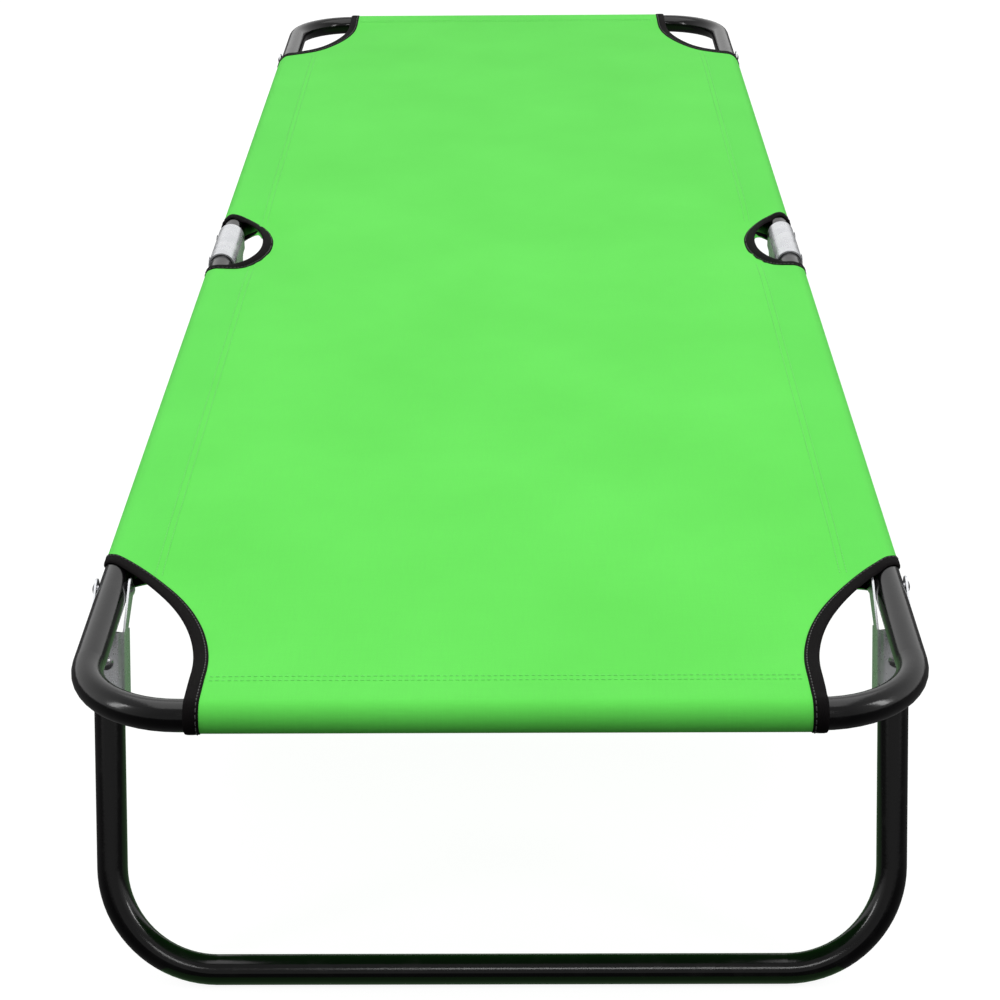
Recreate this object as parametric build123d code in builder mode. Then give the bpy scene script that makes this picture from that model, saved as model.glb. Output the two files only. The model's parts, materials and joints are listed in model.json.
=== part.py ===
from build123d import *
import os
from math import asin, atan2, cos, degrees, hypot, sin

# Folding cot, millimetres.  +Y runs from the foot end to the head end, +Z is up, and the
# origin is on the floor under the middle.  Each half is a U-shaped tube that swings down
# about its own pivot in a pair of hinge channels; the end legs fold in flat under their half.

# Driving dimensions: frame
overall_length = 1900.0
overall_width = 582.0
tube_radius = 11.0
tube_wall = 1.2
rail_z = 259.0
frame_bend = 70.0
rail_x = overall_width / 2 - tube_radius
end_y = overall_length / 2 - tube_radius

# Driving dimensions: legs.  Distances inboard are measured from the end-tube axis.
leg_bend = 75.0
bar_inboard = 66.0
leg_inboard = 156.0
leg_pivot_inboard = 184.0
leg_top = 19.0
centre_leg_top_z = rail_z - 2.0

# Driving dimensions: middle hinge
hinge_pivot_y = 34.0
channel_half_length = 46.0
channel_gap = 11.5
channel_depth = 13.0
gusset_depth = 46.0
gusset_top_y = 27.0
gusset_foot_y = 15.0
centre_rivet_drop = 24.0
rail_mouth_radius = 5.5
plug_start = 5.0

# Driving dimensions: leg brackets
sheet = 1.5
bracket_gap = 11.4
bracket_web_clearance = 0.2
bracket_web_top = 16.8
bracket_end = 66.0
bracket_back = 15.4
bracket_bend = 6.0
ear_radius = 8.0
ear_back = 7.5
fixing_drop = 38.0

# Driving dimensions: rivets
rivet_radius = 3.0
rivet_clearance = 0.1
rivet_head_radius = 5.5
rivet_head_height = 1.6
hinge_head_height = 1.0
pivot_head_height = 2.6
fixing_radius = 2.4
fixing_reach = 4.6

# Driving dimensions: canvas and its bound cut-outs
canvas_thickness = 0.8
canvas_clearance = 0.3
side_seam_x = 250.0
end_seam_inboard = 32.0
split_gap = 0.5
cutout_x = 200.0
cutout_straight = 38.0
cutout_radius = 229.0
cutout_sweep = 60.0
mid_cutout_x = 290.0
mid_cutout_depth = 54.0
mid_cutout_half = 85.0
binding_width = 10.5
binding_thickness = 1.3
binding_wrap_inboard = 200.0

# Worked out from the above
bar_y = end_y - bar_inboard
leg_head_y = end_y - leg_inboard
leg_pivot_y = end_y - leg_pivot_inboard
splay = atan2(bar_y - leg_head_y, rail_z - tube_radius)
leg_length = hypot(bar_y - leg_head_y, rail_z - tube_radius)
bracket_web = tube_radius + bracket_web_clearance + sheet
sleeve_inner = tube_radius + canvas_clearance
sleeve_outer = sleeve_inner + canvas_thickness
deck_z = rail_z + sleeve_inner
binding_z = rail_z + tube_radius + 0.05
sides = (1, -1)


def tube_section():
    """Ring section of the steel tube."""
    Circle(tube_radius)
    Circle(tube_radius - tube_wall, mode=Mode.SUBTRACT)


def across(x, y, z):
    """Plane through a point whose second axis runs along +X, for turned parts that lie across."""
    return Plane(origin=(x, y, z), x_dir=(0, 0, 1), z_dir=(0, 1, 0))


def side_on(x):
    """Plane seen from the side: first axis +Y, second axis +Z."""
    return Plane(origin=(x, 0, 0), x_dir=(0, 1, 0), z_dir=(1, 0, 0))


def leg_point(drop, forward=0.0):
    """Point of the foot-end leg: drop along its axis from rail height, forward off the axis."""
    return (
        -leg_head_y - drop * sin(splay) - forward * cos(splay),
        rail_z - drop * cos(splay) + forward * sin(splay),
    )


def leg_section(x, drop):
    """Plane square to the foot-end leg: second axis points away from the pivot."""
    y, z = leg_point(drop)
    return Plane(origin=(x, y, z), x_dir=(1, 0, 0), z_dir=(0, -sin(splay), -cos(splay)))


def through_rivets(points, grip, head_height):
    """Rivets that run across a channel, with a domed head on each side."""
    with BuildPart() as rivets:
        for x, y, z in points:
            with BuildSketch(across(x, y, z)):
                with BuildLine():
                    stem = Line((0, grip + head_height), (0, -grip - head_height))
                    TangentArc(stem @ 0, (rivet_head_radius, grip), tangent=(1, 0))
                    Polyline(
                        (rivet_head_radius, grip),
                        (rivet_radius, grip),
                        (rivet_radius, -grip),
                        (rivet_head_radius, -grip),
                    )
                    TangentArc(stem @ 1, (rivet_head_radius, -grip), tangent=(1, 0))
                make_face()
            revolve(axis=Axis((x, y, z), (1, 0, 0)))
    return rivets


def cross_rods(points, radius):
    """Rods along X at (y, z) points, right across the cot, to drill holes with."""
    with BuildPart() as rods:
        with BuildSketch(side_on(-overall_width)):
            with Locations(*points):
                Circle(radius)
        extrude(amount=2 * overall_width)
    return rods.part


def corner_opening(inset):
    """Foot-end corner cut-outs seen from above, shrunk by inset on the canvas side."""
    with BuildSketch() as opening:
        for side in sides:
            with BuildLine():
                edge = Line(
                    (side * (cutout_x + inset), -end_y - 2 * tube_radius),
                    (side * (cutout_x + inset), -end_y + cutout_straight),
                )
                curve = CenterArc(
                    (side * (cutout_x + cutout_radius), -end_y + cutout_straight),
                    cutout_radius - inset,
                    90 + 90 * side,
                    -side * cutout_sweep,
                )
                Polyline(
                    curve @ 1,
                    (side * overall_width, (curve @ 1).Y),
                    (side * overall_width, (edge @ 0).Y),
                    edge @ 0,
                )
            make_face()
    return opening.sketch


def middle_opening(inset):
    """Pair of cut-outs round the middle hinges seen from above, shrunk by inset."""
    with BuildSketch() as opening:
        with Locations((mid_cutout_x, 0), (-mid_cutout_x, 0)):
            Ellipse(mid_cutout_depth - inset, mid_cutout_half - inset)
    return opening.sketch


def sleeve(centre, seam):
    """Ring of cloth pulled round a tube and closed at its seam, seen along the tube."""
    seam_drop = canvas_thickness / 2
    reach = 1 if seam > centre else -1
    with BuildSketch() as hollow:
        with Locations((centre, rail_z)):
            Circle(sleeve_inner)
        with Locations((seam - 2 * reach * canvas_thickness, deck_z - seam_drop)):
            Rectangle(canvas_thickness, canvas_thickness)
        make_hull()
    with BuildSketch() as ring:
        with Locations((centre, rail_z)):
            Circle(sleeve_outer)
        with Locations((seam, deck_z + seam_drop)):
            Rectangle(canvas_thickness, canvas_thickness)
        make_hull()
        add(hollow.sketch, mode=Mode.SUBTRACT)
    return ring.sketch


def rail_nose(radius):
    """Arc from the mouth of a rail's domed end back to the tube, seen from the side."""
    rise = degrees(asin(rail_mouth_radius / radius))
    return CenterArc((-hinge_pivot_y, rail_z), radius, rise, 90 - rise)


# Foot and head frames: one bent tube each, its two free ends domed about the hinge pivots
with BuildPart() as foot_frame_tube:
    free_end = -hinge_pivot_y
    with BuildLine(Plane.XY.offset(rail_z)) as frame_route:
        FilletPolyline(
            (rail_x, free_end),
            (rail_x, -end_y),
            (-rail_x, -end_y),
            (-rail_x, free_end),
            radius=frame_bend,
        )
    with BuildSketch(Plane(origin=frame_route.line @ 0, z_dir=frame_route.line % 0)):
        tube_section()
    sweep(path=frame_route.line)
    for side in sides:
        with BuildSketch(side_on(side * rail_x)):
            with BuildLine():
                outer_nose = rail_nose(tube_radius)
                inner_nose = rail_nose(tube_radius - tube_wall)
                Line(outer_nose @ 0, inner_nose @ 0)
                Line(outer_nose @ 1, inner_nose @ 1)
            make_face()
        revolve(axis=Axis((side * rail_x, 0, rail_z), (0, 1, 0)))
    pivots = [(-hinge_pivot_y, rail_z), (-leg_pivot_y, rail_z)]
    add(cross_rods(pivots, rivet_radius + rivet_clearance), mode=Mode.SUBTRACT)

# Plastic plugs that close the mouths of the domed ends
with BuildPart() as foot_rail_plugs:
    for side in sides:
        with BuildSketch(side_on(side * rail_x)):
            with BuildLine():
                tip = CenterArc(
                    (-hinge_pivot_y, rail_z),
                    tube_radius,
                    0,
                    degrees(asin(rail_mouth_radius / tube_radius)),
                )
                Polyline(
                    tip @ 1,
                    (-hinge_pivot_y + plug_start, rail_z + rail_mouth_radius),
                    (-hinge_pivot_y + plug_start, rail_z),
                    tip @ 0,
                )
            make_face()
        revolve(axis=Axis((side * rail_x, 0, rail_z), (0, 1, 0)))

# End leg: one bent tube, splayed out towards the foot end
leg_plane = Plane(
    origin=(0, -bar_y, tube_radius),
    x_dir=(1, 0, 0),
    z_dir=(0, -cos(splay), sin(splay)),
)
with BuildPart() as foot_leg_tube:
    with BuildLine(leg_plane) as leg_route:
        FilletPolyline(
            (rail_x, leg_length - leg_top),
            (rail_x, 0),
            (-rail_x, 0),
            (-rail_x, leg_length - leg_top),
            radius=leg_bend,
        )
    with BuildSketch(Plane(origin=leg_route.line @ 0, z_dir=leg_route.line % 0)):
        tube_section()
    sweep(path=leg_route.line)
    for side in sides:
        with BuildSketch(leg_plane):
            with Locations((side * rail_x, leg_length - fixing_drop)):
                Circle(fixing_radius)
        extrude(amount=tube_radius + 1, mode=Mode.SUBTRACT)

# Middle leg: one bent tube, upright, its ends held inside the hinge channels
with BuildPart() as centre_leg_tube:
    with BuildLine(Plane.XZ) as centre_route:
        FilletPolyline(
            (rail_x, centre_leg_top_z),
            (rail_x, tube_radius),
            (-rail_x, tube_radius),
            (-rail_x, centre_leg_top_z),
            radius=leg_bend,
        )
    with BuildSketch(Plane(origin=centre_route.line @ 0, z_dir=centre_route.line % 0)):
        tube_section()
    sweep(path=centre_route.line)
    add(cross_rods([(0, rail_z - centre_rivet_drop)], rivet_radius), mode=Mode.SUBTRACT)


def leg_bracket(x):
    """Folded-sheet channel round the top of a foot-end leg, with two ears up to the pivot."""
    with BuildSketch() as ear:
        with Locations((-leg_pivot_y, rail_z)):
            Circle(ear_radius)
        with BuildLine():
            Polyline(
                leg_point(bracket_web_top, bracket_web - bracket_bend),
                leg_point(bracket_web_top, -ear_back),
                leg_point(bracket_web_top + sheet, -ear_back),
                leg_point(bracket_web_top + sheet, bracket_web - bracket_bend),
                close=True,
            )
        make_face()
        make_hull()
    with BuildPart() as bracket:
        with BuildSketch(leg_section(x, bracket_web_top)):
            with Locations((0, bracket_web)):
                outer = Rectangle(
                    2 * (bracket_gap + sheet),
                    bracket_web + bracket_back,
                    align=(Align.CENTER, Align.MAX),
                )
            fillet(outer.vertices().group_by(Axis.Y)[-1], bracket_bend)
        extrude(amount=bracket_end - bracket_web_top)
        with BuildSketch(leg_section(x, bracket_web_top)):
            with Locations((0, bracket_web - sheet)):
                inner = Rectangle(
                    2 * bracket_gap,
                    bracket_web + bracket_back,
                    align=(Align.CENTER, Align.MAX),
                )
            fillet(inner.vertices().group_by(Axis.Y)[-1], bracket_bend - sheet)
        extrude(amount=bracket_end - bracket_web_top, mode=Mode.SUBTRACT)
        for face_x in (x - bracket_gap - sheet, x + bracket_gap):
            with BuildSketch(side_on(face_x)):
                add(ear.sketch)
            extrude(amount=sheet)
        add(cross_rods([(-leg_pivot_y, rail_z)], rivet_radius), mode=Mode.SUBTRACT)
        with BuildSketch(leg_plane):
            with Locations((x, leg_length - fixing_drop)):
                Circle(fixing_radius)
        extrude(amount=bracket_web + 1, mode=Mode.SUBTRACT)
    return bracket


foot_leg_bracket_right = leg_bracket(rail_x)
foot_leg_bracket_left = leg_bracket(-rail_x)

# Pivot rivets of the end legs: tight in the brackets, free to turn in the rails
foot_leg_pivot_rivets = through_rivets(
    [(side * rail_x, -leg_pivot_y, rail_z) for side in sides],
    bracket_gap + sheet,
    pivot_head_height,
)

# Blind rivets that hold each end leg in its bracket
with BuildPart() as foot_leg_fixing_rivets:
    for side in sides:
        fixing_plane = leg_section(side * rail_x, fixing_drop)
        with BuildSketch(fixing_plane):
            with BuildLine():
                stem = Line((0, bracket_web + rivet_head_height), (0, bracket_web - fixing_reach))
                TangentArc(stem @ 0, (rivet_head_radius, bracket_web), tangent=(1, 0))
                Polyline(
                    (rivet_head_radius, bracket_web),
                    (fixing_radius, bracket_web),
                    (fixing_radius, bracket_web - fixing_reach),
                    stem @ 1,
                )
            make_face()
        revolve(axis=Axis(fixing_plane.origin, fixing_plane.y_dir))


def hinge_channel(x):
    """Round-topped channel over the two rail ends, with gussets down beside the middle leg."""
    with BuildPart() as channel:
        with BuildSketch(Plane.XZ.offset(-channel_half_length)):
            with Locations((x, rail_z)):
                Circle(channel_gap + sheet)
                Rectangle(
                    2 * (channel_gap + sheet), gusset_depth, align=(Align.CENTER, Align.MAX)
                )
                Circle(channel_gap, mode=Mode.SUBTRACT)
                Rectangle(
                    2 * channel_gap,
                    gusset_depth,
                    align=(Align.CENTER, Align.MAX),
                    mode=Mode.SUBTRACT,
                )
        extrude(amount=2 * channel_half_length)
        with BuildSketch(side_on(x - 2 * channel_gap)):
            with BuildLine():
                hem = FilletPolyline(
                    (-channel_half_length, rail_z - channel_depth),
                    (-gusset_top_y, rail_z - channel_depth),
                    (-gusset_foot_y, rail_z - gusset_depth),
                    (gusset_foot_y, rail_z - gusset_depth),
                    (gusset_top_y, rail_z - channel_depth),
                    (channel_half_length, rail_z - channel_depth),
                    radius=ear_radius,
                )
                Polyline(
                    hem @ 1,
                    (channel_half_length, rail_z + 2 * channel_gap),
                    (-channel_half_length, rail_z + 2 * channel_gap),
                    hem @ 0,
                )
            make_face()
        extrude(amount=4 * channel_gap, mode=Mode.INTERSECT)
        pivots = [(-hinge_pivot_y, rail_z), (hinge_pivot_y, rail_z)]
        pivots.append((0, rail_z - centre_rivet_drop))
        add(cross_rods(pivots, rivet_radius), mode=Mode.SUBTRACT)
    return channel


hinge_channel_right = hinge_channel(rail_x)
hinge_channel_left = hinge_channel(-rail_x)

# Pivot rivets of the two halves: tight in the channels, free to turn in the rails
hinge_rivets = through_rivets(
    [
        (side * rail_x, pivot_y, rail_z)
        for side in sides
        for pivot_y in (-hinge_pivot_y, hinge_pivot_y)
    ],
    channel_gap + sheet,
    hinge_head_height,
)

# Rivets that hold the middle leg in the channels
centre_leg_rivets = through_rivets(
    [(side * rail_x, 0, rail_z - centre_rivet_drop) for side in sides],
    channel_gap + sheet,
    rivet_head_height,
)

# Canvas of the foot half: flat deck, side sleeves on the rails, end sleeve on the end tube
with BuildPart() as canvas_foot:
    half_end = -hinge_pivot_y - split_gap
    with BuildSketch(Plane.XY.offset(deck_z)):
        with Locations((0, half_end)):
            Rectangle(2 * rail_x, end_y + half_end, align=(Align.CENTER, Align.MAX))
    extrude(amount=canvas_thickness)
    with BuildSketch(Plane.XZ.offset(-half_end)):
        add(sleeve(rail_x, side_seam_x))
        add(sleeve(-rail_x, -side_seam_x))
    extrude(amount=end_y + half_end)
    with BuildSketch(Plane.XY):
        add(corner_opening(0))
        add(middle_opening(0))
    extrude(amount=overall_width, mode=Mode.SUBTRACT)
    with BuildSketch(side_on(-cutout_x)):
        add(sleeve(-end_y, -end_y + end_seam_inboard))
    extrude(amount=2 * cutout_x)

# Canvas over the middle, between the two pivots
with BuildPart() as canvas_centre:
    centre_half = hinge_pivot_y - split_gap
    with BuildSketch(Plane.XY.offset(deck_z)):
        Rectangle(2 * rail_x, 2 * centre_half)
        add(middle_opening(0), mode=Mode.SUBTRACT)
    extrude(amount=canvas_thickness)

# Bias binding: a band along each cut-out, over the deck edge and round the tubes
with BuildPart() as foot_corner_bindings:
    with BuildSketch(Plane.XY.offset(binding_z)):
        with Locations((0, -end_y)):
            Rectangle(2 * rail_x, cutout_radius + cutout_straight, align=(Align.CENTER, Align.MIN))
    extrude(amount=binding_thickness)
    with BuildSketch(Plane.XZ.offset(end_y - binding_wrap_inboard)):
        with Locations((rail_x, rail_z), (-rail_x, rail_z)):
            Circle(sleeve_inner + binding_thickness)
            Circle(sleeve_inner, mode=Mode.SUBTRACT)
    extrude(amount=-binding_wrap_inboard)
    with BuildSketch(side_on(-rail_x)):
        with Locations((-end_y, rail_z)):
            Circle(sleeve_inner + binding_thickness)
            Circle(sleeve_inner, mode=Mode.SUBTRACT)
    extrude(amount=2 * rail_x)
    with BuildSketch(Plane.XY):
        add(corner_opening(0))
        add(corner_opening(binding_width), mode=Mode.SUBTRACT)
    extrude(amount=overall_width, mode=Mode.INTERSECT)


def middle_binding(low_y, high_y, on_rails):
    """Binding of both middle cut-outs between two distances along the cot."""
    with BuildPart() as binding:
        with BuildSketch(Plane.XY.offset(binding_z)):
            with Locations((0, low_y)):
                Rectangle(2 * rail_x, high_y - low_y, align=(Align.CENTER, Align.MIN))
        extrude(amount=binding_thickness)
        if on_rails:
            with BuildSketch(Plane.XZ.offset(-high_y)):
                with Locations((rail_x, rail_z), (-rail_x, rail_z)):
                    Circle(sleeve_inner + binding_thickness)
                    Circle(sleeve_inner, mode=Mode.SUBTRACT)
            extrude(amount=high_y - low_y)
        with BuildSketch(Plane.XY):
            add(middle_opening(0))
            add(middle_opening(binding_width), mode=Mode.SUBTRACT)
        extrude(amount=overall_width, mode=Mode.INTERSECT)
    return binding


foot_middle_bindings = middle_binding(-mid_cutout_half - 1, half_end, True)
centre_bindings = middle_binding(-centre_half, centre_half, False)

pieces = {
    "foot_frame_tube": foot_frame_tube,
    "foot_rail_plugs": foot_rail_plugs,
    "foot_leg_tube": foot_leg_tube,
    "foot_leg_bracket_right": foot_leg_bracket_right,
    "foot_leg_bracket_left": foot_leg_bracket_left,
    "foot_leg_pivot_rivets": foot_leg_pivot_rivets,
    "foot_leg_fixing_rivets": foot_leg_fixing_rivets,
    "foot_corner_bindings": foot_corner_bindings,
    "foot_middle_bindings": foot_middle_bindings,
    "canvas_foot": canvas_foot,
    "canvas_centre": canvas_centre,
    "centre_bindings": centre_bindings,
    "centre_leg_tube": centre_leg_tube,
    "centre_leg_rivets": centre_leg_rivets,
    "hinge_channel_right": hinge_channel_right,
    "hinge_channel_left": hinge_channel_left,
    "hinge_rivets": hinge_rivets,
}

# The head half is the foot half seen in a mirror across the middle
for name in [key for key in pieces if "foot" in key]:
    with BuildPart() as head_piece:
        mirror(pieces[name].part, about=Plane.XZ)
    pieces[name.replace("foot", "head")] = head_piece

os.makedirs("parts", exist_ok=True)
for name, piece in pieces.items():
    piece.part.label = name
    export_step(piece.part, f"parts/{name}.step")
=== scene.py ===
import json
from math import acos, asin, atan2, cos, hypot, pi, radians, sin, tau

import bmesh
import bpy
import numpy as np
from mathutils import Matrix, Vector, noise


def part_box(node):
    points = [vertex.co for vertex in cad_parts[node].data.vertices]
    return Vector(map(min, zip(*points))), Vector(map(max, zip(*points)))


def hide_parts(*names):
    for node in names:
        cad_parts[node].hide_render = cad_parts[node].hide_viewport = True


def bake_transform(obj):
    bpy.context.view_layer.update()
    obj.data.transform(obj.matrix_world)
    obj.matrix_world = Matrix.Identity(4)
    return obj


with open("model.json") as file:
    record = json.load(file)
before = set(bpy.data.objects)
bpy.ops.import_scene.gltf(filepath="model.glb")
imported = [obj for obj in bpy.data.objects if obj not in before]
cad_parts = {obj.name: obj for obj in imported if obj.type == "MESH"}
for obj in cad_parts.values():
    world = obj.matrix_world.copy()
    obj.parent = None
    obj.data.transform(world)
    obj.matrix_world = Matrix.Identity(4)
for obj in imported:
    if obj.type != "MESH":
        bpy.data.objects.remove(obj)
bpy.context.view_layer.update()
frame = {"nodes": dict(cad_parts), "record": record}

# ---------------------------------------------------------------- sizes, in metres
TUBE_RADIUS = 0.011
CLOTH = 0.0007
CLOTH_RADIUS = 0.0117          # middle of the cloth where it goes round a tube
SIDE_SEAM = 0.030              # from rail axis inboard to the sleeve's stitching
END_SEAM = 0.032               # from end-tube axis inboard to the end sleeve's stitching
HEM = 0.008                    # cloth left beyond the stitching, under the deck
HEM_DROP = 0.0016              # gap between the deck and the hem under it
SAG = 0.0035                   # dip of the deck in the middle of each half
EDGE_DROOP = 0.0040            # dip of the free edges at the middle cut-outs
EDGE_LIFT = 0.0025             # how far the tape there stands up towards the opening
CORNER_DROOP = 0.0028          # dip of the free edges at the corner cut-outs

CORNER_X = 0.200               # cut-outs as seen from above, at the fabric side of the binding
CORNER_STRAIGHT = 0.038
CORNER_RADIUS = 0.229
MIDDLE_X = 0.290
MIDDLE_DEPTH = 0.054
MIDDLE_HALF = 0.085
CLOTH_EDGE = 0.0092            # raw edge of the cloth, inside the binding
PULLED = 0.008                 # the edges lie nearer the middle under the rails, clear of the legs

# The cloth has slipped a little across the frame, more at the foot end, and along it
SLIP = {"foot": 0.0045, "middle": 0.0030, "head": -0.0015}
SLIP_ALONG = -0.004

STITCH = 0.0030
STITCH_GAP = 0.0012
THREAD = 0.00028
SEAM_ROWS = (0.005, 0.006)     # between the two rows of a side seam, and of an end seam
SEAM_FROM_MIDDLE = 0.064       # where the side seams' stitches begin and end
SEAM_FROM_END = 0.186
TAPE_SEAM = 0.0019             # from the tape's fabric-side edge to its stitches
TAPE_TOP = 0.0009              # height of those stitches over the middle of the cloth

tube_low, tube_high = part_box("foot_frame_tube")
rail_x = tube_high.x - TUBE_RADIUS
rail_z = tube_high.z - TUBE_RADIUS
end_y = -tube_low.y - TUBE_RADIUS
deck_z = rail_z + CLOTH_RADIUS


# ---------------------------------------------------------------- camera, light, floor
SKY_PLACES = (0.0, 0.05, 0.50, 1.0)      # height of a direction, and the sky's brightness there
SKY_TONES = (0.10, 1.05, 0.85, 0.40)


def make_camera():
    """The viewing angle of a person standing at the foot end."""
    lens, pitch, heading, tilt = 88.13, 24.66, -0.576, -0.460
    place = Vector((0.0160, -2.3367, 1.0553))
    p, h, t = radians(pitch), radians(heading), radians(tilt)
    forward = Vector((sin(h) * cos(p), cos(h) * cos(p), -sin(p)))
    right = Vector((cos(h), -sin(h), 0))
    up = right.cross(forward)
    right, up = cos(t) * right + sin(t) * up, cos(t) * up - sin(t) * right
    turn = Matrix((right, up, -forward)).transposed().to_4x4()
    data = bpy.data.cameras.new("camera")
    data.lens = lens
    data.sensor_width = 36
    data.clip_start, data.clip_end = 0.05, 60
    camera = bpy.data.objects.new("camera", data)
    camera.matrix_world = Matrix.Translation(place) @ turn
    bpy.context.scene.collection.objects.link(camera)
    bpy.context.scene.camera = camera


def area_light(name, place, aim, size, power):
    data = bpy.data.lights.new(name, "AREA")
    data.shape = "RECTANGLE"
    data.size, data.size_y = size
    data.energy = power
    light = bpy.data.objects.new(name, data)
    light.location = place
    light.rotation_mode = "QUATERNION"
    light.rotation_quaternion = (Vector(aim) - Vector(place)).to_track_quat("-Z", "Y")
    bpy.context.scene.collection.objects.link(light)
    return light


def make_world():
    """A white studio: bright all round above the horizon but for the camera's side, dim below."""
    world = bpy.data.worlds.new("studio")
    bpy.context.scene.world = world
    world.use_nodes = True
    tree = world.node_tree
    direction = tree.nodes.new("ShaderNodeTexCoord").outputs["Generated"]
    parts = tree.nodes.new("ShaderNodeSeparateXYZ")
    tree.links.new(direction, parts.inputs["Vector"])
    ramp = tree.nodes.new("ShaderNodeValToRGB")
    tree.links.new(parts.outputs["Z"], ramp.inputs["Fac"])
    ramp.color_ramp.elements.new(0.05)
    ramp.color_ramp.elements.new(0.50)
    for stop, place, tone in zip(ramp.color_ramp.elements, SKY_PLACES, SKY_TONES):
        stop.position = place
        stop.color = (tone, tone, tone, 1)
    behind = tree.nodes.new("ShaderNodeMapRange")
    tree.links.new(parts.outputs["Y"], behind.inputs["Value"])
    for key, number in zip(("From Min", "From Max", "To Min", "To Max"), (-0.8, 0.1, 0.30, 1.0)):
        behind.inputs[key].default_value = number
    back = tree.nodes["Background"]
    tree.links.new(ramp.outputs["Color"], back.inputs["Color"])
    tree.links.new(behind.outputs["Result"], back.inputs["Strength"])


def make_light():
    """Soft boxes round the cot, and a dim green lamp for the light that comes through the canvas."""
    make_world()
    area_light("top_box", (0, 0.2, 2.8), (0, 0.1, 0), (2.4, 3.6), 34)
    area_light("left_box", (-2.4, -1.6, 1.6), (0, -0.5, 0.2), (0.4, 1.4), 14)
    area_light("right_box", (2.4, -1.6, 1.6), (0, -0.5, 0.2), (0.4, 1.4), 14)
    area_light("front_box", (0.3, -3.6, 2.2), (0, -0.8, 0.1), (1.2, 0.4), 10)
    glow = area_light("through_canvas", (0, 0, 0.004), (0, 0, 1), (0.5, 1.8), 0.45)
    glow.data.color = (0.25, 1.0, 0.18)
    glow.visible_camera = False
    bpy.context.scene.view_settings.view_transform = "Standard"


def make_floor():
    """White studio floor. It takes shadows but throws no light back on the cot."""
    bpy.ops.mesh.primitive_plane_add(size=30, location=(0, 0, 0))
    floor = bpy.context.object
    floor.name = "floor"
    floor.visible_diffuse = False
    floor.visible_glossy = False
    floor.data.materials.append(floor_material())


# ---------------------------------------------------------------- materials
WEAVE = 0.00055                # distance from thread to thread in the canvas
TWILL = 0.0007                 # and from rib to rib in the tape


class Nodes:
    """A material's nodes, with short calls to add and join them."""

    def __init__(self, name, place="Object"):
        self.material = bpy.data.materials.new(name)
        self.material.use_nodes = True
        self.tree = self.material.node_tree
        self.shader = self.tree.nodes["Principled BSDF"]
        self.place = self.add("ShaderNodeTexCoord").outputs[place]

    def add(self, kind, **settings):
        node = self.tree.nodes.new(kind)
        for key, value in settings.items():
            setattr(node, key, value)
        return node

    def join(self, source, target):
        if hasattr(source, "is_output"):
            self.tree.links.new(source, target)
        else:
            target.default_value = source

    def noise(self, scale, detail=2.0, stretch=(1, 1, 1)):
        spread = self.add("ShaderNodeMapping")
        self.join(self.place, spread.inputs["Vector"])
        spread.inputs["Scale"].default_value = stretch
        grain = self.add("ShaderNodeTexNoise")
        self.join(spread.outputs["Vector"], grain.inputs["Vector"])
        grain.inputs["Scale"].default_value = scale
        grain.inputs["Detail"].default_value = detail
        return grain.outputs["Fac"]

    def wave(self, axis, scale):
        threads = self.add("ShaderNodeTexWave", bands_direction=axis, wave_profile="SIN")
        self.join(self.place, threads.inputs["Vector"])
        threads.inputs["Scale"].default_value = scale
        return threads.outputs["Fac"]

    def maths(self, operation, *values):
        node = self.add("ShaderNodeMath", operation=operation)
        for value, socket in zip(values, node.inputs):
            self.join(value, socket)
        return node.outputs[0]

    def span(self, value, low, high, to_low=0.0, to_high=1.0):
        node = self.add("ShaderNodeMapRange")
        for key, number in zip(
            ("Value", "From Min", "From Max", "To Min", "To Max"),
            (value, low, high, to_low, to_high),
        ):
            self.join(number, node.inputs[key])
        return node.outputs["Result"]

    def mix(self, share, first, second):
        node = self.add("ShaderNodeMix", data_type="RGBA")
        self.join(share, node.inputs["Factor"])
        self.join(first, node.inputs[6])
        self.join(second, node.inputs[7])
        return node.outputs[2]

    def bump(self, height, strength, distance, under=None):
        node = self.add("ShaderNodeBump")
        node.inputs["Strength"].default_value = strength
        node.inputs["Distance"].default_value = distance
        self.join(height, node.inputs["Height"])
        if under is not None:
            self.join(under, node.inputs["Normal"])
        return node.outputs["Normal"]

    def set(self, **values):
        for key, value in values.items():
            self.join(value, self.shader.inputs[key.replace("_", " ")])
        return self.material


def floor_material():
    n = Nodes("floor")
    tone = n.span(n.noise(1.5), 0.3, 0.7)
    return n.set(
        Base_Color=n.mix(tone, (0.23, 0.23, 0.23, 1), (0.25, 0.25, 0.25, 1)),
        Roughness=0.9,
        Specular_IOR_Level=0.0,
        Emission_Color=(1, 1, 1, 1),
        Emission_Strength=0.90,
    )


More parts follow.
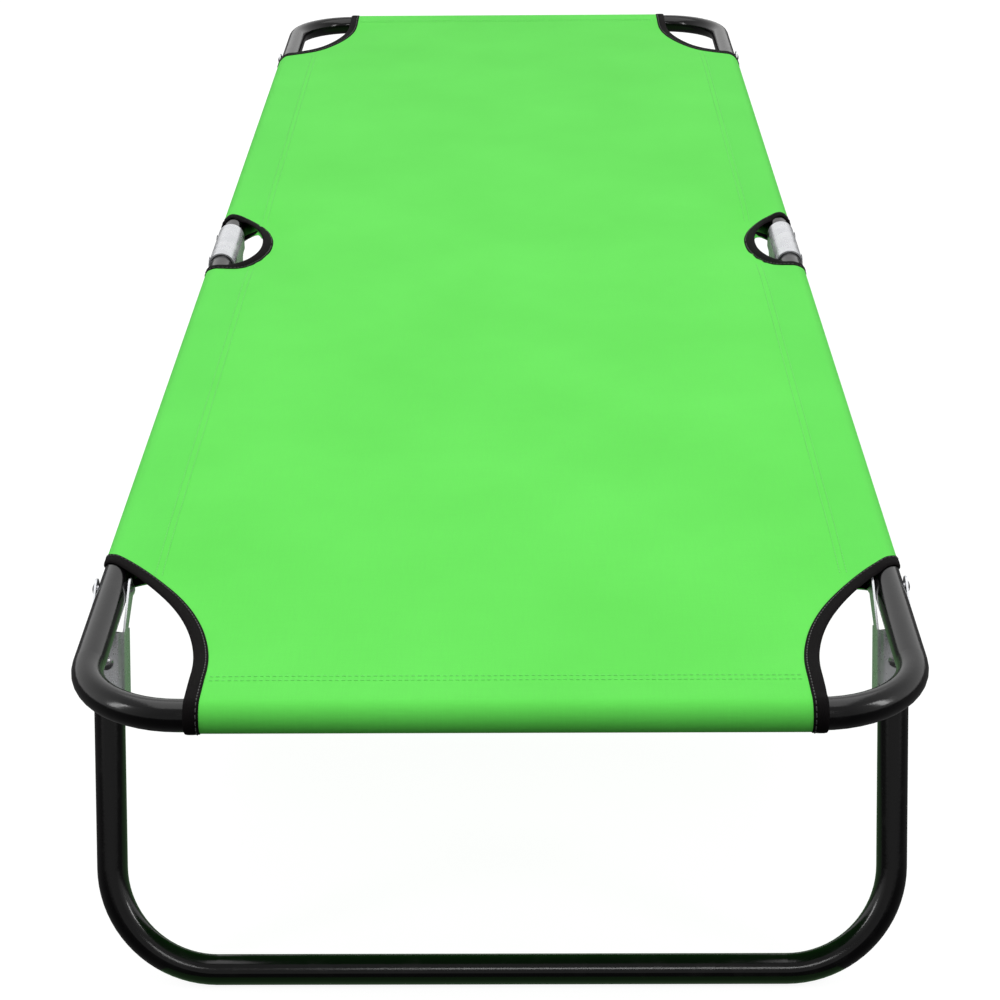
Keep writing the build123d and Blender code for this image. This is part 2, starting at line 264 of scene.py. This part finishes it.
def canvas_material():
    """Plain-woven polyester: two thread directions, slubs, and a painted shade band where the cloth
    lies in two layers and lets less light through.
    """
    n = Nodes("green_canvas", "UV")
    bands = tau / (20 * WEAVE)       # a wave texture repeats every tau / 20 of its scaled unit
    warp, weft = n.wave("X", bands), n.wave("Y", bands)
    checks = n.maths("MULTIPLY", n.maths("SUBTRACT", warp, 0.5), n.maths("SUBTRACT", weft, 0.5))
    slub = n.maths(
        "ADD", n.noise(900, 2, (1, 0.04, 1)), n.noise(900, 2, (0.04, 1, 1))
    )
    thread = n.maths("ADD", n.maths("MULTIPLY", checks, 2.0), slub)
    cloud = n.span(n.noise(6, 3), 0.3, 0.7)
    green = n.mix(cloud, (0.130, 0.785, 0.093, 1), (0.146, 0.845, 0.107, 1))
    shade = n.span(thread, 0.4, 1.6)
    green = n.mix(shade, n.mix(0.14, green, (0.06, 0.42, 0.05, 1)), green)
    # Painted shade: a darker, bluer band outboard of the side seam, where the cloth lies in two layers
    # and lets less light through
    parts = n.add("ShaderNodeSeparateXYZ")
    n.join(n.place, parts.inputs["Vector"])
    sideways = n.maths("ABSOLUTE", parts.outputs["X"])
    seam = rail_x - SIDE_SEAM
    two_layer_shade = n.span(sideways, seam - 0.002, seam + 0.002, 0.0, 0.05)
    green = n.mix(two_layer_shade, green, (0.05, 0.45, 0.12, 1))
    rough = n.span(slub, 0.6, 1.4, 0.74, 0.88)
    return n.set(
        Base_Color=green,
        Roughness=rough,
        Specular_IOR_Level=0.15,
        Sheen_Weight=0.05,
        Sheen_Roughness=0.5,
        Normal=n.bump(thread, 0.30, 0.00012),
    )


def tape_material():
    """Black bias tape: fine diagonal twill."""
    n = Nodes("black_tape")
    turned = n.add("ShaderNodeMapping")
    n.join(n.place, turned.inputs["Vector"])
    turned.inputs["Rotation"].default_value = (0.4, 0.3, pi / 4)
    n.place = turned.outputs["Vector"]
    twill = n.wave("X", tau / (20 * TWILL))
    fuzz = n.noise(1400, 2)
    tone = n.span(n.maths("ADD", twill, fuzz), 0.4, 1.5)
    return n.set(
        Base_Color=n.mix(tone, (0.0028, 0.0022, 0.0025, 1), (0.0075, 0.0062, 0.0068, 1)),
        Roughness=n.span(fuzz, 0.3, 0.7, 0.6, 0.8),
        Specular_IOR_Level=0.05,
        Normal=n.bump(n.maths("ADD", twill, fuzz), 0.4, 0.00015),
    )


def powder_coat_material():
    """Glossy black powder coat with a faint orange peel and a few dull marks."""
    n = Nodes("black_powder_coat")
    peel = n.noise(420, 2)
    wear = n.span(n.noise(55, 4), 0.55, 0.75)
    return n.set(
        Base_Color=n.mix(wear, (0.0030, 0.0028, 0.0032, 1), (0.0060, 0.0056, 0.0060, 1)),
        Roughness=n.span(wear, 0.0, 1.0, 0.16, 0.24),
        Specular_IOR_Level=0.5,
        Normal=n.bump(peel, 0.10, 0.0004),
    )


def zinc_material():
    """Zinc-plated sheet: satin, faintly brushed, with cloudy patches."""
    n = Nodes("zinc_plate")
    brushed = n.noise(700, 3, (1, 0.05, 1))
    cloudy = n.span(n.noise(60, 3), 0.35, 0.7)
    return n.set(
        Base_Color=n.mix(cloudy, (0.68, 0.69, 0.72, 1), (0.80, 0.81, 0.83, 1)),
        Metallic=0.6,
        Roughness=n.span(n.maths("ADD", cloudy, brushed), 0.3, 1.6, 0.22, 0.34),
        Normal=n.bump(brushed, 0.05, 0.0001),
    )


def rivet_material():
    n = Nodes("rivet_steel")
    turned = n.noise(900, 2)
    patch = n.span(n.noise(120, 2), 0.3, 0.7)
    return n.set(
        Base_Color=n.mix(patch, (0.60, 0.60, 0.62, 1), (0.74, 0.74, 0.76, 1)),
        Metallic=1.0,
        Roughness=n.span(patch, 0.0, 1.0, 0.22, 0.34),
        Normal=n.bump(turned, 0.15, 0.0002),
    )


def plastic_material():
    n = Nodes("moulded_plastic")
    grain = n.noise(1100, 2)
    return n.set(
        Base_Color=n.mix(grain, (0.012, 0.012, 0.012, 1), (0.022, 0.022, 0.022, 1)),
        Roughness=n.span(grain, 0.3, 0.7, 0.45, 0.6),
        Normal=n.bump(grain, 0.2, 0.0002),
    )


def thread_material(name, dark, light):
    n = Nodes(name)
    ply = n.noise(3000, 1)
    return n.set(
        Base_Color=n.mix(ply, dark, light),
        Roughness=0.6,
        Sheen_Weight=0.3,
        Normal=n.bump(ply, 0.4, 0.0001),
    )


# ---------------------------------------------------------------- the sheet of canvas
# The sheet is described flat: u runs across the cot and v along it, both from the middle.
# Past a tube's top line the sheet goes round the tube and back up to its seam.
class Wrap:
    """Where the sheet goes beyond the top line of a tube whose axis is at distance axis."""

    def __init__(self, axis, seam):
        height = CLOTH_RADIUS - HEM_DROP
        reach = hypot(seam, height)
        self.axis = axis
        self.turn = (pi / 2 - atan2(height, -seam) - acos(CLOTH_RADIUS / reach)) % tau
        self.arc = CLOTH_RADIUS * self.turn
        self.run = (reach**2 - CLOTH_RADIUS**2) ** 0.5
        self.leave = np.array([sin(self.turn), cos(self.turn) - 1]) * CLOTH_RADIUS
        self.seam = np.array([-seam, height - CLOTH_RADIUS])
        self.seam_at = axis + self.arc + self.run
        self.end = self.seam_at + HEM

    def __call__(self, s):
        """Distance from the middle and drop below the deck, for each distance s along the sheet."""
        over = np.maximum(s - self.axis, 0)
        angle = np.minimum(over / CLOTH_RADIUS, self.turn)
        out = CLOTH_RADIUS * np.sin(angle)
        drop = CLOTH_RADIUS * (np.cos(angle) - 1)
        climb = np.clip((over - self.arc) / self.run, 0, 1)
        out = out + climb * (self.seam[0] - self.leave[0])
        drop = drop + climb * (self.seam[1] - self.leave[1])
        out = out - np.maximum(over - self.arc - self.run, 0)
        return np.where(s > self.axis, self.axis + out, s), drop

    def samples(self, step, fine=0.0030):
        """Distances along the sheet from the middle to the hem's edge."""
        flat = np.linspace(0, self.axis, round(self.axis / step) + 1)
        arc = np.linspace(0, self.arc, round(self.arc / fine) + 1)[1:]
        run = np.linspace(0, self.run, round(self.run / (1.5 * fine)) + 1)[1:]
        return np.concatenate([flat, self.axis + arc, self.axis + self.arc + run, [self.end]])


across = Wrap(rail_x, SIDE_SEAM)
along = Wrap(end_y, END_SEAM)


def smooth(t):
    t = np.clip(t, 0, 1)
    return t * t * (3 - 2 * t)


def pulled(u):
    """How far the cut-outs' edges lie towards the middle: nothing on a rail, most under it."""
    return PULLED * smooth((np.abs(u) - rail_x - 0.003) / 0.015)


def middle_share(x, y, inset=0.0):
    """Below 1 inside a middle cut-out, which is an ellipse round the hinge."""
    x, y = np.abs(x - SLIP["middle"]), y - SLIP_ALONG
    return np.hypot((x - MIDDLE_X) / (MIDDLE_DEPTH - inset), y / (MIDDLE_HALF - inset))


def into_corner(x, y, inset=0.0):
    """How far a point seen from above lies inside the nearest corner cut-out."""
    x = np.abs(x - np.where(y < 0, SLIP["foot"], SLIP["head"]))
    inboard = end_y - np.abs(y)
    straight = x - (CORNER_X + inset)
    curved = (CORNER_RADIUS - inset) - np.hypot(
        x - CORNER_X - CORNER_RADIUS, inboard - CORNER_STRAIGHT
    )
    return np.where(inboard < CORNER_STRAIGHT, straight, curved)


def into_opening(x, y, inset):
    """How far a point seen from above lies inside the nearest cut-out; negative on the cloth."""
    middle = (1 - middle_share(x, y, inset)) * (MIDDLE_DEPTH - inset)
    return np.maximum(into_corner(x, y, inset), middle)


def membrane():
    """Dip of a stretched sheet held along the tubes and free at the cut-outs, on a coarse grid."""
    xs = np.linspace(0, rail_x, 41)
    ys = np.linspace(0, end_y, 135)
    grid_x, grid_y = np.meshgrid(xs, ys, indexing="ij")
    cloth = into_opening(grid_x, -grid_y, 0) < 0
    free = cloth.copy()
    free[-1, :] = False
    free[:, -1] = False
    dip = np.zeros_like(grid_x)
    load = 1.0
    for _ in range(6000):
        total = np.zeros_like(dip)
        count = np.zeros_like(dip)
        for shift, axis in ((1, 0), (-1, 0), (1, 1), (-1, 1)):
            near = np.roll(dip, shift, axis)
            real = np.roll(cloth, shift, axis)
            if (shift, axis) == (1, 0):
                near[0], real[0] = dip[1], cloth[1]
            if (shift, axis) == (-1, 0):
                near[-1], real[-1] = 0, True
            if (shift, axis) == (1, 1):
                near[:, 0], real[:, 0] = dip[:, 1], cloth[:, 1]
            if (shift, axis) == (-1, 1):
                near[:, -1], real[:, -1] = 0, True
            total += np.where(real, near, 0)
            count += real
        dip = np.where(free, (total + load) / np.maximum(count, 1), 0)
    for _ in range(12):              # carry the edge's dip a little way into the cut-outs
        total = sum(np.roll(dip, s, a) for s, a in ((1, 0), (-1, 0), (1, 1), (-1, 1)))
        count = sum(np.roll(dip > 0, s, a) for s, a in ((1, 0), (-1, 0), (1, 1), (-1, 1)))
        dip = np.where((dip == 0) & ~cloth & (count > 0), total / np.maximum(count, 1), dip)
    dip[-1, :] = 0                   # the tubes hold the sheet up, in the cut-outs too
    dip[:, -1] = 0
    return xs, ys, dip / dip.max()


DIP_X, DIP_Y, DIP = membrane()


def dip_at(x, y):
    """Share of the full sag at points seen from above."""
    i = np.clip(np.abs(x) / DIP_X[1], 0, len(DIP_X) - 1.001)
    j = np.clip(np.abs(y) / DIP_Y[1], 0, len(DIP_Y) - 1.001)
    a, b = i.astype(int), j.astype(int)
    s, t = i - a, j - b
    low = DIP[a, b] * (1 - s) + DIP[a + 1, b] * s
    high = DIP[a, b + 1] * (1 - s) + DIP[a + 1, b + 1] * s
    return low * (1 - t) + high * t


def ripple(x, y):
    """Small slack ripples, a millimetre at most, from a fixed noise field."""
    flat = [
        noise.noise(Vector((5 * a, 2.2 * b, 3.1))) + 0.35 * noise.noise(Vector((22 * a, 7 * b, 8)))
        for a, b in zip(np.ravel(x), np.ravel(y))
    ]
    return np.reshape(flat, np.shape(x))


def relief(x, y):
    """Height of the deck against a flat one, at points seen from above."""
    from_rail, from_end = rail_x - np.abs(x), end_y - np.abs(y)
    held = smooth(from_rail / 0.05) * smooth(from_end / 0.05)
    share = middle_share(x, y)
    droop = np.exp(-((np.maximum(share - 1, 0) / 0.45) ** 2)) * smooth(from_rail / 0.030)
    lift = smooth((1 - share) / 0.15) * smooth(from_rail / 0.030)
    near_corner = np.exp(-((np.maximum(-into_corner(x, y), 0) / 0.035) ** 2))
    near_corner = near_corner * smooth(from_rail / 0.045) * smooth((from_end - 0.02) / 0.06)
    return (
        -SAG * dip_at(x, y)
        - EDGE_DROOP * droop
        + EDGE_LIFT * lift
        - CORNER_DROOP * near_corner
        + 0.0007 * held * ripple(x, y)
    )


def on_sheet(u, v):
    """Points in space of places on the flat sheet."""
    x, drop_x = across(np.abs(u))
    y, drop_y = along(np.abs(v))
    x, y = np.sign(u) * x, np.sign(v) * y
    return np.stack([x, y, deck_z + drop_x + drop_y + relief(x, y)], -1)


def outward(u, v):
    """Unit normals of the sheet, up on the deck and away from the tubes round them."""
    e = 0.0003
    du = on_sheet(u + e, v) - on_sheet(u - e, v)
    dv = on_sheet(u, v + e) - on_sheet(u, v - e)
    n = np.cross(du, dv)
    return n / np.linalg.norm(n, axis=-1, keepdims=True)


# ---------------------------------------------------------------- mesh helpers
def make_mesh(name, points, faces, material, flat=None):
    """A smooth mesh; flat gives each point's place on the flat sheet, kept as its UV map."""
    mesh = bpy.data.meshes.new(name)
    mesh.from_pydata([tuple(p) for p in points], [], [tuple(f) for f in faces])
    mesh.update()
    mesh.shade_smooth()
    if flat is not None:
        layer = mesh.uv_layers.new(name="sheet")
        for loop in mesh.loops:
            layer.data[loop.index].uv = flat[loop.vertex_index]
    piece = bpy.data.objects.new(name, mesh)
    bpy.context.scene.collection.objects.link(piece)
    mesh.materials.append(material)
    return piece


def apply_modifiers(piece):
    bpy.context.view_layer.objects.active = piece
    for modifier in list(piece.modifiers):
        with bpy.context.temp_override(object=piece, active_object=piece):
            bpy.ops.object.modifier_apply(modifier=modifier.name)


def face_outward(piece):
    work = bmesh.new()
    work.from_mesh(piece.data)
    bmesh.ops.recalc_face_normals(work, faces=work.faces)
    work.to_mesh(piece.data)
    work.free()


# ---------------------------------------------------------------- pieces of the sheet
def half_canvas(name, toward, material):
    """One half of the sheet, from the middle line to the end sleeve's hem."""
    us = across.samples(0.0065)
    us = np.concatenate([-us[:0:-1], us])
    vs = toward * along.samples(0.0068)
    u, v = np.meshgrid(us, vs, indexing="ij")

    def depth(a, b):
        x = np.sign(a) * across(np.abs(a))[0]
        y = np.sign(b) * (along(np.abs(b))[0] + pulled(a))
        return into_opening(x, y, CLOTH_EDGE)

    # Keep the cells whose centres are on the cloth
    centre_u = (u[:-1, :-1] + u[1:, 1:]) / 2
    centre_v = (v[:-1, :-1] + v[1:, 1:]) / 2
    kept = depth(centre_u, centre_v) <= 0
    beside = np.zeros(u.shape, bool)
    away = np.zeros(u.shape, bool)
    for i in (0, 1):
        for j in (0, 1):
            window = (slice(i, i + kept.shape[0]), slice(j, j + kept.shape[1]))
            beside[window] |= kept
            away[window] |= ~kept
    # Slide the points between kept and dropped cells on to the raw edge
    edge = beside & away
    a, b, e = u[edge], v[edge], 1e-5
    for _ in range(8):
        f = depth(a, b)
        fa = (depth(a + e, b) - depth(a - e, b)) / (2 * e)
        fb = (depth(a, b + e) - depth(a, b - e)) / (2 * e)
        step = np.clip(f / np.maximum(fa**2 + fb**2, 0.05), -0.004, 0.004)
        a, b = a - step * fa, b - step * fb
    u[edge], v[edge] = a, b
    number = -np.ones(u.shape, int)
    number[beside] = np.arange(beside.sum())
    corners = np.stack(
        [number[:-1, :-1], number[1:, :-1], number[1:, 1:], number[:-1, 1:]], -1
    )[kept]
    if toward < 0:
        corners = corners[:, ::-1]
    u, v = u[beside], v[beside]
    piece = make_mesh(name, on_sheet(u, v), corners, material, np.stack([u, v], -1))
    thicken = piece.modifiers.new("cloth", "SOLIDIFY")
    thicken.thickness = CLOTH
    thicken.offset = 0
    apply_modifiers(piece)
    piece.data.set_sharp_from_angle(angle=radians(60))
    return piece


def curve_of(path):
    """A path's points every few millimetres, and at each the direction into its cut-out."""
    path = np.array(path)
    gone = np.concatenate([[0], np.cumsum(np.linalg.norm(np.diff(path, axis=0), axis=1))])
    at = np.linspace(0, gone[-1], round(gone[-1] / 0.0022) + 1)
    path = np.stack([np.interp(at, gone, path[:, k]) for k in (0, 1)], -1)
    ahead = np.gradient(path, axis=0)
    ahead /= np.linalg.norm(ahead, axis=1, keepdims=True)
    inward = np.stack([-ahead[:, 1], ahead[:, 0]], -1)
    if inward[-1][0] < 0:                # both kinds of cut-out lie outboard of their last point
        inward = -inward
    return path, inward


def corner_path(slip):
    """Fabric edge of a corner cut-out on the flat sheet, in the quarter where u and v are positive."""
    round_x, round_y = CORNER_X + CORNER_RADIUS + slip, end_y - CORNER_STRAIGHT

    def edge_v(x):
        return round_y - (CORNER_RADIUS**2 - (round_x - x) ** 2) ** 0.5

    sleeve = np.linspace(across.seam_at, rail_x, 160)
    path = [(u, edge_v(across(u)[0]) - pulled(u)) for u in sleeve]
    last = acos((round_x - rail_x) / CORNER_RADIUS)
    for angle in np.linspace(last, 0, 80)[1:]:
        path.append((round_x - CORNER_RADIUS * cos(angle), round_y - CORNER_RADIUS * sin(angle)))
    path += [(CORNER_X + slip, v) for v in np.linspace(round_y, along.seam_at, 120)[1:]]
    return path


def middle_path(slip, slip_along):
    """Fabric edge of a middle cut-out on the flat sheet, in the quarter where u and v are positive."""
    middle_x = MIDDLE_X + slip

    def edge_v(x):
        return slip_along + MIDDLE_HALF * (1 - ((middle_x - x) / MIDDLE_DEPTH) ** 2) ** 0.5

    sleeve = np.linspace(across.seam_at, rail_x, 160)
    path = [(u, edge_v(across(u)[0]) - pulled(u)) for u in sleeve]
    first, last = acos((middle_x - rail_x) / MIDDLE_DEPTH), asin(-slip_along / MIDDLE_HALF)
    for angle in np.linspace(first, last, 80)[1:]:
        path.append((middle_x - MIDDLE_DEPTH * cos(angle), slip_along + MIDDLE_HALF * sin(angle)))
    return path


# The folded tape in section: distance from its fabric-side edge, height above the cloth
TAPE = [(0, 0.45), (0.4, 0.9), (1.4, 1.0), (2.0, 0.85), (2.6, 1.05), (5, 1.2), (8.2, 1.15), (9.9, 0.8)]
TAPE_NOSE = 10.5


def tape_section():
    upper = [(q / 1000, h / 1000) for q, h in TAPE]
    return np.array(upper + [(TAPE_NOSE / 1000, 0)] + [(q, -h) for q, h in upper[::-1]])


def tape(path, side, toward):
    """Points and faces of the tape along a path, mirrored to one side and one end."""
    path, across_it = curve_of(path)
    rings = []
    for q, h in tape_section():
        place = path + q * across_it
        place[-1, 1] = path[-1, 1]       # the ends lie square on the middle line and on the seam
        height = np.full(len(place), h)
        if h < 0:                        # pinched between the cloth and a tube
            on_rail = smooth((place[:, 0] - rail_x + 0.004) / 0.006)
            on_end = smooth((place[:, 1] - end_y + 0.004) / 0.006)
            height = h + np.maximum(on_rail, on_end) * (max(h, -0.00055) - h)
        u, v = side * place[:, 0], toward * place[:, 1]
        rings.append(on_sheet(u, v) + outward(u, v) * height[:, None])
    rings = np.array(rings)
    count, steps = rings.shape[:2]
    faces = []
    for k in range(count):
        for i in range(steps - 1):
            m = (k + 1) % count
            faces.append((k * steps + i, m * steps + i, m * steps + i + 1, k * steps + i + 1))
    faces.append([k * steps for k in range(count)])
    faces.append([k * steps + steps - 1 for k in range(count)][::-1])
    return rings.reshape(-1, 3), faces


def tape_piece(name, paths, toward, material):
    points, faces = [], []
    for side, path in paths.items():
        more_points, more_faces = tape(path, side, toward)
        faces += [[i + len(points) for i in face] for face in more_faces]
        points += list(more_points)
    piece = make_mesh(name, points, faces, material)
    face_outward(piece)
    piece.data.set_sharp_from_angle(angle=radians(65))
    return piece


def stitch(place, ahead, up):
    """One stitch: a short thread that rises between two holes."""
    side = np.cross(ahead, up)
    points, faces = [], []
    for t, lift, size in ((-0.5, -0.4, 0.7), (-0.3, 0.7, 1), (0.3, 0.7, 1), (0.5, -0.4, 0.7)):
        middle = place + ahead * t * STITCH + up * lift * THREAD
        for angle in np.arange(6) * tau / 6:
            points.append(middle + THREAD * size * (cos(angle) * side * 1.3 + sin(angle) * up))
    for ring in range(3):
        for k in range(6):
            a, b = ring * 6 + k, ring * 6 + (k + 1) % 6
            faces.append((a, b, b + 6, a + 6))
    faces.append(tuple(range(5, -1, -1)))
    faces.append(tuple(range(18, 24)))
    return points, faces


def stitches(name, rows, material, lift):
    """Rows of stitches along paths on the flat sheet; each row is (points, side, toward)."""
    points, faces = [], []
    pitch = STITCH + STITCH_GAP
    for path, side, toward in rows:
        path = np.array(path) * np.array([side, toward])
        gone = np.concatenate([[0], np.cumsum(np.linalg.norm(np.diff(path, axis=0), axis=1))])
        for at in np.arange(pitch, gone[-1] - pitch, pitch):
            u, v = (np.interp([at - 0.001, at, at + 0.001], gone, path[:, k]) for k in (0, 1))
            spots = on_sheet(u, v)
            up = outward(u[1:2], v[1:2])[0]
            ahead = spots[2] - spots[0]
            ahead /= np.linalg.norm(ahead)
            more_points, more_faces = stitch(spots[1] + up * lift, ahead, up)
            faces += [[i + len(points) for i in face] for face in more_faces]
            points += more_points
    piece = make_mesh(name, points, faces, material)
    face_outward(piece)
    return piece


# ---------------------------------------------------------------- build
make_camera()
make_light()
make_floor()

canvas = canvas_material()
tape_cloth = tape_material()
green_thread = thread_material("green_thread", (0.10, 0.62, 0.08, 1), (0.17, 0.85, 0.13, 1))
black_thread = thread_material("black_thread", (0.008, 0.008, 0.008, 1), (0.03, 0.028, 0.03, 1))
finishes = {
    "black_tube": powder_coat_material(),
    "black_plastic": plastic_material(),
    "zinc_sheet": zinc_material(),
    "rivets": rivet_material(),
    "canvas": canvas,
    "binding": tape_cloth,
}
slots = {s["node"]: s["material_slot"] for s in frame["record"]["subparts"]}
for node, shown in frame["nodes"].items():
    shown.data.materials.clear()
    shown.data.materials.append(finishes[slots[node]])


def hinge_blend(piece):
    """Bakes the piece's transform into its mesh."""
    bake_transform(piece)


def sheet_area(corner, middle):
    """Area of half of the flat sheet, less its cut-outs."""
    corner, middle = np.array(corner), np.array(middle)
    whole = across.end * along.end
    outside = np.concatenate([corner, [(corner[-1][0], along.end), (across.end, along.end)]])
    hole = np.concatenate([middle, [(across.end, 0)]])

    def area(p):
        q = np.roll(p, -1, 0)
        return abs((p[:, 0] * q[:, 1] - q[:, 0] * p[:, 1]).sum()) / 2

    return 2 * (whole - area(outside) - area(hole))


seam_x = float(across(across.seam_at)[0])
seam_y = float(along(along.seam_at)[0])
for end, toward in (("foot", -1), ("head", 1)):
    corners = {side: corner_path(side * SLIP[end]) for side in (1, -1)}
    middles = {side: middle_path(side * SLIP["middle"], toward * SLIP_ALONG) for side in (1, -1)}
    cloth = half_canvas(f"{end}_canvas_sheet", toward, canvas)
    corner_tape = tape_piece(f"{end}_corner_tape", corners, toward, tape_cloth)
    middle_tape = tape_piece(f"{end}_middle_tape", middles, toward, tape_cloth)

    rows = [
        ([(seam_x + shift, SEAM_FROM_MIDDLE), (seam_x + shift, end_y - SEAM_FROM_END)], side, toward)
        for side in (1, -1)
        for shift in (0, -SEAM_ROWS[0])
    ]
    rows += [
        ([(SLIP[end] - CORNER_X, seam_y + shift), (SLIP[end] + CORNER_X, seam_y + shift)], 1, toward)
        for shift in (0, SEAM_ROWS[1])
    ]
    seams = stitches(f"{end}_seam_stitches", rows, green_thread, CLOTH / 2)
    tape_rows = []
    for paths in (corners, middles):
        for side, path in paths.items():
            flat_path, inward = curve_of(path)
            tape_rows.append((flat_path + TAPE_SEAM * inward, side, toward))
    tape_seams = stitches(f"{end}_tape_stitches", tape_rows, black_thread, TAPE_TOP)

    for piece in (cloth, corner_tape, middle_tape, seams, tape_seams):
        hinge_blend(piece)
    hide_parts(f"canvas_{end}", "canvas_centre")
    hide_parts(f"{end}_corner_bindings")
    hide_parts(f"{end}_middle_bindings", "centre_bindings")
    sheet_area(corners[1], middles[1])
